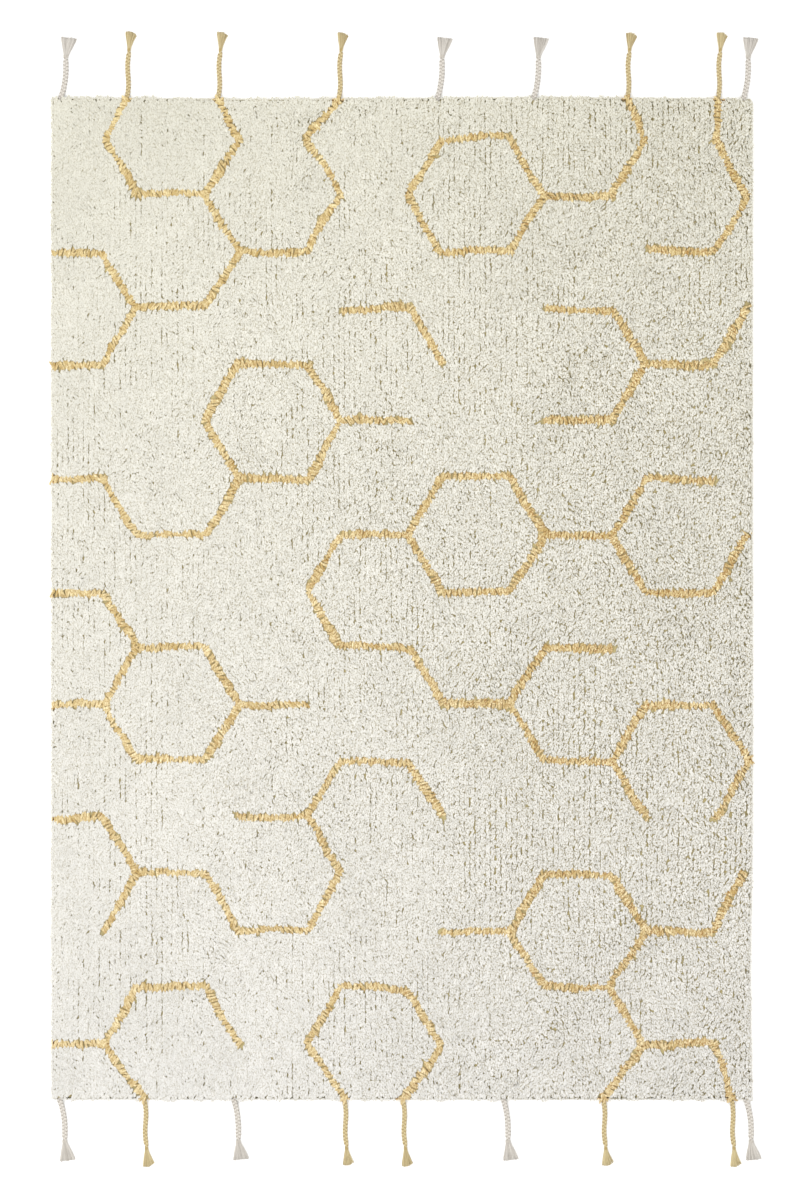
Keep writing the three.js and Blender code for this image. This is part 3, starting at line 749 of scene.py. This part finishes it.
# The yellow lines: a rib of two tufts across the line at each step, one leaning out to each side.
# The ribs slant by a smooth noise along the line.
def makeYellowLines():
    h = honeycomb
    rng = np.random.default_rng(71)
    centres, sideways, forwards = [], [], []
    for a, b in lines:
        length = np.hypot(*(b - a))
        steps = max(2, int(length / h["ribPitch"]))
        t = (np.arange(steps) + 0.5 + rng.uniform(-0.2, 0.2, steps)) / steps
        ahead = (b - a) / length
        centres.append(a + t[:, None] * (b - a))
        forwards.append(np.tile(ahead, (steps, 1)))
        sideways.append(np.tile([-ahead[1], ahead[0]], (steps, 1)))
    centres, sideways, forwards = [np.repeat(np.concatenate(part), 2, axis=0)
                                   for part in (centres, sideways, forwards)]
    count = len(centres)
    ribs = count // 2
    hand = np.tile([1.0, -1.0], ribs)
    dx, dy = lineDrift(centres[:, 0], centres[:, 1])
    centres = centres - np.stack([dx, dy], axis=1)
    half = lineHalfWidth(centres[:, 0], centres[:, 1])
    slant = np.repeat(rng.normal(0, 0.28, ribs), 2) + rng.normal(0, 0.16, count)
    slant = slant + 0.7 * softNoise(centres[:, 0], centres[:, 1], 0.05, 73)
    slant = np.clip(slant, -1, 1)
    rootOut = hand * 0.25 * half
    tipOut = hand * (0.44 * half + rng.normal(0, 0.0009, count))
    slip = tipOut * np.tan(slant) + np.repeat(rng.normal(0, 0.0013, ribs), 2)
    root2 = centres + sideways * rootOut[:, None] + forwards * (0.3 * slip)[:, None]
    tip2 = centres + sideways * tipOut[:, None] + forwards * slip[:, None]
    rx, ry = onOutline(root2[:, 0], root2[:, 1])
    tx, ty = onOutline(tip2[:, 0], tip2[:, 1])
    sunk = np.repeat(h["ribSink"] * rng.random(ribs) ** 2, 2)
    sunk = sunk + rng.uniform(0, h["tuftSink"], count)
    roots = np.stack([rx, ry, np.full(count, creamPile["rootHeight"])], axis=1)
    tips = np.stack([tx, ty, pileTop(tx, ty) - 0.0002 - sunk], axis=1)
    heading = np.arctan2(sideways[:, 1], sideways[:, 0]) - slant
    lengths = half * rng.uniform(0.74, 1.04, count)
    widths = h["ribHalfWidth"] * rng.uniform(0.95, 1.2, count)
    tones = 0.5 + 0.15 * softNoise(tx, ty, 0.03, 72) + np.repeat(rng.normal(0, 0.12, ribs), 2)
    tones = np.clip(tones + rng.normal(0, 0.13, count), 0, 1)
    print("yellow lines made:", count, "tufts")
    return newTufts("yellowLines", roots, tips, lengths, widths, heading, tones,
                    yellowPileMaterial, sides=6)


pilePieces = makeCreamPile() + makeRim() + [makeYellowLines()]

# Braids, brushes and ties, at the sizes of the solids that they stand for
tasselForms = dict(
    natural=dict(
        cycle=0.021, swing=0.0032, lift=0.0013, halfWide=0.0024, halfHigh=0.0014,
        driftEnd=0.06, sway=0.0, rest=0.0031, neckHalfWidth=0.0037, neckHalfHeight=0.0022,
        brushLeft=0.010, brushRight=0.021, tipCut=0.003, curl=0.0, yarns=44, yarnRadius=0.00098,
        colours=[colour(148, 140, 129), colour(208, 203, 195)], slot="natural_braid",
        tieColours=[colour(172, 165, 154), colour(204, 198, 188)], tieSlot="natural_thread",
    ),
    yellow=dict(
        cycle=0.021, swing=0.0029, lift=0.0012, halfWide=0.0021, halfHigh=0.0013,
        driftEnd=0.091, sway=0.0018, rest=0.0028, neckHalfWidth=0.0025, neckHalfHeight=0.0019,
        brushLeft=0.007, brushRight=0.011, tipCut=0.006, curl=0.004, yarns=34, yarnRadius=0.00088,
        colours=[colour(140, 116, 70), colour(202, 187, 144)], slot="yellow_braid",
        tieColours=[colour(152, 128, 76), colour(190, 168, 112)], tieSlot="yellow_thread",
    ),
)


# Plied cotton: slanting ridges on the piece's own UV, which runs along it and round it
def yarnMaterial(name, low, high):
    material, tree, baseColour, height, spot = clothMaterial(name, 0.9, 0.2, 0.0004, 0.7)
    uv = addNode(tree, "ShaderNodeUVMap", uv_map="UVMap").outputs["UV"]
    plies = addNode(tree, "ShaderNodeTexWave", {"Vector": uv, "Scale": 1.0, "Distortion": 0.6,
                                                "Detail Scale": 3.0}, bands_direction="DIAGONAL")
    tone = addNode(tree, "ShaderNodeAttribute", attribute_name="tone").outputs["Fac"]
    fibres = addNode(tree, "ShaderNodeTexNoise", {"Vector": spot, "Scale": 1200.0, "Detail": 2.0})
    # Painted shade: the ridges darken the colour in the grooves between plies
    shade = addNode(tree, "ShaderNodeMath", {0: plies.outputs["Fac"], 1: 0.35},
                    operation="MULTIPLY").outputs[0]
    speck = remap(tree, fibres.outputs["Fac"], 0.3, 0.7, -0.1, 0.1)
    total = addNode(tree, "ShaderNodeMath", {0: tone, 1: shade}, operation="ADD").outputs[0]
    total = addNode(tree, "ShaderNodeMath", {0: total, 1: speck}, operation="ADD",
                    use_clamp=True).outputs[0]
    tree.links.new(mixColour(tree, total, low, high), baseColour)
    tree.links.new(plies.outputs["Fac"], height)
    return material


# Closed tubes along paths. A ring is the path's point plus the half width times cos a to the side
# and the half height times sin a upwards; a point closes each end. U grows by 1 for each lap
# length along the tube and V goes from 0 to 1 round it.
def tubes(paths, halfWide, halfHigh, sides, lap):
    count, steps, _ = paths.shape
    ahead = np.gradient(paths, axis=1)
    ahead /= np.linalg.norm(ahead, axis=2, keepdims=True)
    aside = np.cross(ahead, [0.0, 0.0, 1.0])
    aside /= np.linalg.norm(aside, axis=2, keepdims=True)
    upward = np.cross(aside, ahead)
    angle = np.arange(sides) * 2 * np.pi / sides
    rings = (paths[:, :, None]
             + (halfWide[:, :, None] * np.cos(angle))[..., None] * aside[:, :, None]
             + (halfHigh[:, :, None] * np.sin(angle))[..., None] * upward[:, :, None])
    endPush = 0.4 * halfHigh[:, [0, -1], None]
    first = paths[:, :1] - endPush[:, :1] * ahead[:, :1]
    last = paths[:, -1:] + endPush[:, 1:] * ahead[:, -1:]
    points = np.concatenate([rings.reshape(count, -1, 3), first, last], axis=1)

    i, j = np.meshgrid(np.arange(steps - 1), np.arange(sides), indexing="ij")
    i, j = i.ravel(), j.ravel()
    after = (j + 1) % sides
    quad = np.stack([i * sides + j, (i + 1) * sides + j, (i + 1) * sides + after,
                     i * sides + after], axis=1)
    k = np.arange(sides)
    ahead1, final = (k + 1) % sides, (steps - 1) * sides
    startCap = np.stack([k, ahead1, np.full(sides, steps * sides)], axis=1)
    endCap = np.stack([final + ahead1, final + k, np.full(sides, steps * sides + 1)], axis=1)
    offset = np.arange(count)[:, None, None] * (steps * sides + 2)
    quads = (offset + quad).reshape(-1, 4)
    tris = (offset + np.concatenate([startCap, endCap])).reshape(-1, 3)

    gone = np.linalg.norm(np.diff(paths, axis=1), axis=2).cumsum(axis=1)
    gone = np.concatenate([np.zeros((count, 1)), gone], axis=1) / lap
    near, far = gone[:, i], gone[:, i + 1]
    low, high = np.tile(j / sides, (count, 1)), np.tile((j + 1) / sides, (count, 1))
    quadUv = np.stack([np.stack([near, low], 2), np.stack([far, low], 2),
                       np.stack([far, high], 2), np.stack([near, high], 2)], axis=2)
    startU, endU = np.tile(gone[:, :1], (1, sides)), np.tile(gone[:, -1:], (1, sides))
    lowCap, highCap = np.tile(k / sides, (count, 1)), np.tile((k + 1) / sides, (count, 1))
    middle = (lowCap + highCap) / 2
    startUv = np.stack([np.stack([startU, lowCap], 2), np.stack([startU, highCap], 2),
                        np.stack([startU, middle], 2)], axis=2)
    endUv = np.stack([np.stack([endU, highCap], 2), np.stack([endU, lowCap], 2),
                      np.stack([endU, middle], 2)], axis=2)
    triUv = np.concatenate([startUv, endUv], axis=1)
    uvs = np.concatenate([quadUv.reshape(-1, 2), triUv.reshape(-1, 2)])
    return points.reshape(-1, 3), quads, tris, uvs


# The braid's middle line: it bows or sways to its neck and falls from the edge to the floor
def braidMiddle(form, distance, neckX):
    t = np.clip(distance / form["driftEnd"], 0, 1)
    if form["sway"] > 0:
        x = neckX * t + form["sway"] * np.sin(2 * np.pi * t)
    else:
        x = neckX * (1 - (1 - t) ** 2)
    r = tasselRoot
    fall = ease((distance - r["fallStart"]) / (r["fallEnd"] - r["fallStart"]))
    return x, r["height"] + (form["rest"] - r["height"]) * fall


braid = dict(steps=84, sides=8, lap=0.006, tone=0.16, topLightSwing=0.5)


# Three plaited strands: side swing sin(turn), lift sin(2 turn), a third of a turn apart.
# Near the neck the swing closes up. Yarn is painted lighter where it lies on top and darker where
# it lies under: painted light and shade.
def braidStrands(form, end, rootX, neckX, neckY, neckZ):
    r = tasselRoot
    neckDistance = abs(neckY) - rugShape["halfLength"]
    distance = np.linspace(-r["inside"], neckDistance + 0.002, braid["steps"])
    middleX, middleZ = braidMiddle(form, distance, neckX - rootX)
    toNeck = ease((distance - neckDistance + 0.009) / 0.008)
    middleZ = middleZ + (neckZ - middleZ) * toNeck
    turn = 2 * np.pi * distance / form["cycle"] + np.arange(3)[:, None] * 2 * np.pi / 3
    close = 1 - 0.5 * toNeck
    x = rootX + middleX + form["swing"] * close * np.sin(turn)
    z = middleZ + form["lift"] * close * np.sin(2 * turn)
    y = np.broadcast_to(end * (rugShape["halfLength"] + distance), x.shape)
    paths = np.stack([x, y, z], axis=2)
    halfWide = np.broadcast_to(form["halfWide"] * (1 - 0.25 * toNeck), x.shape)
    halfHigh = np.broadcast_to(form["halfHigh"] * (1 - 0.1 * toNeck), x.shape)
    # Painted light and shade: lighter where the strand lies on top, darker where it lies under
    tone = braid["tone"] + braid["topLightSwing"] * np.sin(2 * turn)
    tone = np.concatenate([np.repeat(tone, braid["sides"], axis=1), tone[:, [0, -1]]], axis=1)
    return *tubes(paths, halfWide, halfHigh, braid["sides"], braid["lap"]), tone.ravel()


brush = dict(steps=8, sides=5, lap=0.002, height=0.0036, tones=(0.25, 0.9))


# The loose brush: yarns leave the neck side by side in layers and fan out to the floor.
# A yarn's place across the neck is its place across the fan, so none cross.
def brushYarns(form, end, neckX, neckY, neckZ, tipY, rng):
    count = form["yarns"]
    across = np.linspace(-1, 1, count) + rng.normal(0, 0.03, count)
    layer = (np.arange(count) * 0.618) % 1
    t = np.linspace(0, 1, brush["steps"])
    spread = ease(t) * 0.35 + t * 0.65
    room = np.sqrt(np.clip(1 - across ** 2, 0.1, 1))
    startX = neckX + 0.8 * form["neckHalfWidth"] * across
    startZ = neckZ + (2 * layer - 1) * 0.75 * form["neckHalfHeight"] * room
    middle = neckX + (form["brushRight"] - form["brushLeft"]) / 2
    right = np.maximum(across, 0)
    endX = middle + across * (form["brushRight"] + form["brushLeft"]) / 2 * 0.96
    endZ = 1.15 * form["yarnRadius"] + layer * brush["height"] * (0.4 + 0.6 * room)
    curlX = form["curl"] * (right ** 2)[:, None] * t ** 3
    cut = form["tipCut"] * (right ** 2 if form["curl"] > 0 else (1 + across) / 2)
    reach = abs(tipY) - cut + rng.normal(0, 0.0007, count) - abs(neckY)
    x = startX[:, None] + (endX - startX)[:, None] * spread + curlX
    x = x + 0.0004 * np.sin(9 * t + 6.3 * layer[:, None]) * t
    y = end * (abs(neckY) + reach[:, None] * t)
    z = startZ[:, None] + (endZ - startZ)[:, None] * ease(1.4 * t)
    paths = np.stack([x, y, z], axis=2)
    radius = form["yarnRadius"] * (1 + 0.12 * t) * np.ones((count, 1))
    return tubes(paths, radius, radius, brush["sides"], brush["lap"])


# The wound thread: an oval band round the neck whose outside is ridged once for each turn of thread
def tieBand(box):
    low, high = np.array(box[0]), np.array(box[1])
    centre, size = (low + high) / 2, (high - low) / 2
    turns, around, outer = 4, 24, 17
    t = np.linspace(-1, 1, outer)
    bulge = 0.00025 * np.abs(np.sin(np.pi * turns * (t + 1) / 2))
    gap = np.concatenate([-0.0004 + bulge, np.full(3, -0.0012)])
    along = np.concatenate([t, [0.8, 0, -0.8]]) * size[1]
    angle = np.arange(around) * 2 * np.pi / around
    x = centre[0] + (size[0] + gap[:, None]) * np.cos(angle)
    z = centre[2] + (size[2] + gap[:, None]) * np.sin(angle)
    y = centre[1] + np.broadcast_to(along[:, None], x.shape)
    i, j = np.meshgrid(np.arange(len(gap)), np.arange(around), indexing="ij")
    i2, j2 = (i + 1) % len(gap), (j + 1) % around
    quads = np.stack([i * around + j, i2 * around + j, i2 * around + j2, i * around + j2], axis=2)
    quads = quads.reshape(-1, 4)
    nextU = np.where(i2 == 0, i + 1, i2)
    corners = [(i, j), (nextU, j), (nextU, j + 1), (i, j + 1)]
    uvs = np.stack([np.stack([a / 4, b / around], axis=2) for a, b in corners], axis=2)
    return np.stack([x, y, z], axis=2).reshape(-1, 3), quads, uvs.reshape(-1, 2)


# All tassels, each with its braid and brush as one piece and its tie as another, placed by the
# boxes of the solids that they stand for
def makeTassels():
    materials = {}
    for kind, form in tasselForms.items():
        materials[kind] = (yarnMaterial(f"{kind}Braid", *form["colours"]),
                           yarnMaterial(f"{kind}Thread", *form["tieColours"]))
    made = []
    numbers = {1: 0, -1: 0}
    for n, (end, kind, rootX) in enumerate(tasselPlaces):
        form = tasselForms[kind]
        numbers[end] += 1
        label = f"{'top' if end > 0 else 'bottom'}_{numbers[end]}"
        rng = np.random.default_rng(200 + n)
        tieLow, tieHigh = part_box(f"tie_{label}")
        neck = (tieLow + tieHigh) / 2
        low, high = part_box(f"tassel_{label}")
        tipY = high.y if end > 0 else low.y
        neckY = neck.y - end * 0.002
        strands = braidStrands(form, end, rootX, neck.x, neckY, neck.z)
        yarns = brushYarns(form, end, neck.x, neckY, neck.z, tipY, rng)
        shift = len(strands[0])
        points = np.concatenate([strands[0], yarns[0]])
        faceSets = [strands[1], strands[2], yarns[1] + shift, yarns[2] + shift]
        uvs = np.concatenate([strands[3], yarns[3]])
        perYarn = len(yarns[0]) // form["yarns"]
        yarnTones = np.repeat(rng.uniform(*brush["tones"], form["yarns"]), perYarn)
        tone = np.concatenate([strands[4], yarnTones])
        tassel = newPiece(f"tassel{label.replace('_', '').capitalize()}", points, faceSets,
                          materials[kind][0], {"tone": tone}, uvs)
        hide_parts(f"tassel_{label}")
        bandPoints, bandQuads, bandUvs = tieBand((tieLow, tieHigh))
        tie = newPiece(f"tie{label.replace('_', '').capitalize()}", bandPoints, [bandQuads],
                       materials[kind][1],
                       {"tone": np.full(len(bandPoints), 0.4)}, bandUvs)
        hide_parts(f"tie_{label}")
        made += [tassel, tie]
    print("tassels made:", len(tasselPlaces))
    return made


tasselPieces = makeTassels()

studio = dict(
    floorColour=colour(250, 250, 249),
    floorHalfSize=8.0,
    floorHeight=-0.0003,
    worldStrength=1.3,
    keyPlace=(-2.8, -0.8, 4.4),
    keySize=2.4,
    keyPower=82.0,
    cameraCentre=(-0.004, -0.002),  # what the middle of the picture shows
    pictureHeight=2.391,
    lens=100.0,
)


# A pale floor, even white surroundings, one soft light from the lower left and a camera above
def makeStudio():
    mesh = bpy.data.meshes.new("floor")
    size = studio["floorHalfSize"]
    corners = [(-size, -size, 0), (size, -size, 0), (size, size, 0), (-size, size, 0)]
    mesh.from_pydata(corners, [], [(0, 1, 2, 3)])
    floor = bpy.data.objects.new("floor", mesh)
    floor.location.z = studio["floorHeight"]
    bpy.context.scene.collection.objects.link(floor)
    material = bpy.data.materials.new("paleFloor")
    material.use_nodes = True
    shader = material.node_tree.nodes["Principled BSDF"]
    shader.inputs["Base Color"].default_value = studio["floorColour"]
    shader.inputs["Roughness"].default_value = 0.9
    mesh.materials.append(material)

    world = bpy.data.worlds.new("studio")
    bpy.context.scene.world = world
    world.use_nodes = True
    background = world.node_tree.nodes["Background"]
    background.inputs["Color"].default_value = (1, 1, 1, 1)
    background.inputs["Strength"].default_value = studio["worldStrength"]

    light = bpy.data.lights.new("key", "AREA")
    light.shape = "DISK"
    light.size = studio["keySize"]
    light.energy = studio["keyPower"]
    key = bpy.data.objects.new("key", light)
    key.location = studio["keyPlace"]
    bpy.context.scene.collection.objects.link(key)
    key.rotation_euler = (-key.location).to_track_quat("-Z", "Y").to_euler()

    lens = bpy.data.cameras.new("camera")
    lens.lens = studio["lens"]
    lens.sensor_width = 36.0
    camera = bpy.data.objects.new("camera", lens)
    height = studio["pictureHeight"] * studio["lens"] / lens.sensor_width
    camera.location = (*studio["cameraCentre"], height + rugShape["thickness"])
    bpy.context.scene.collection.objects.link(camera)
    bpy.context.scene.camera = camera
    bpy.context.scene.view_settings.view_transform = "Standard"


makeStudio()
print("studio made")
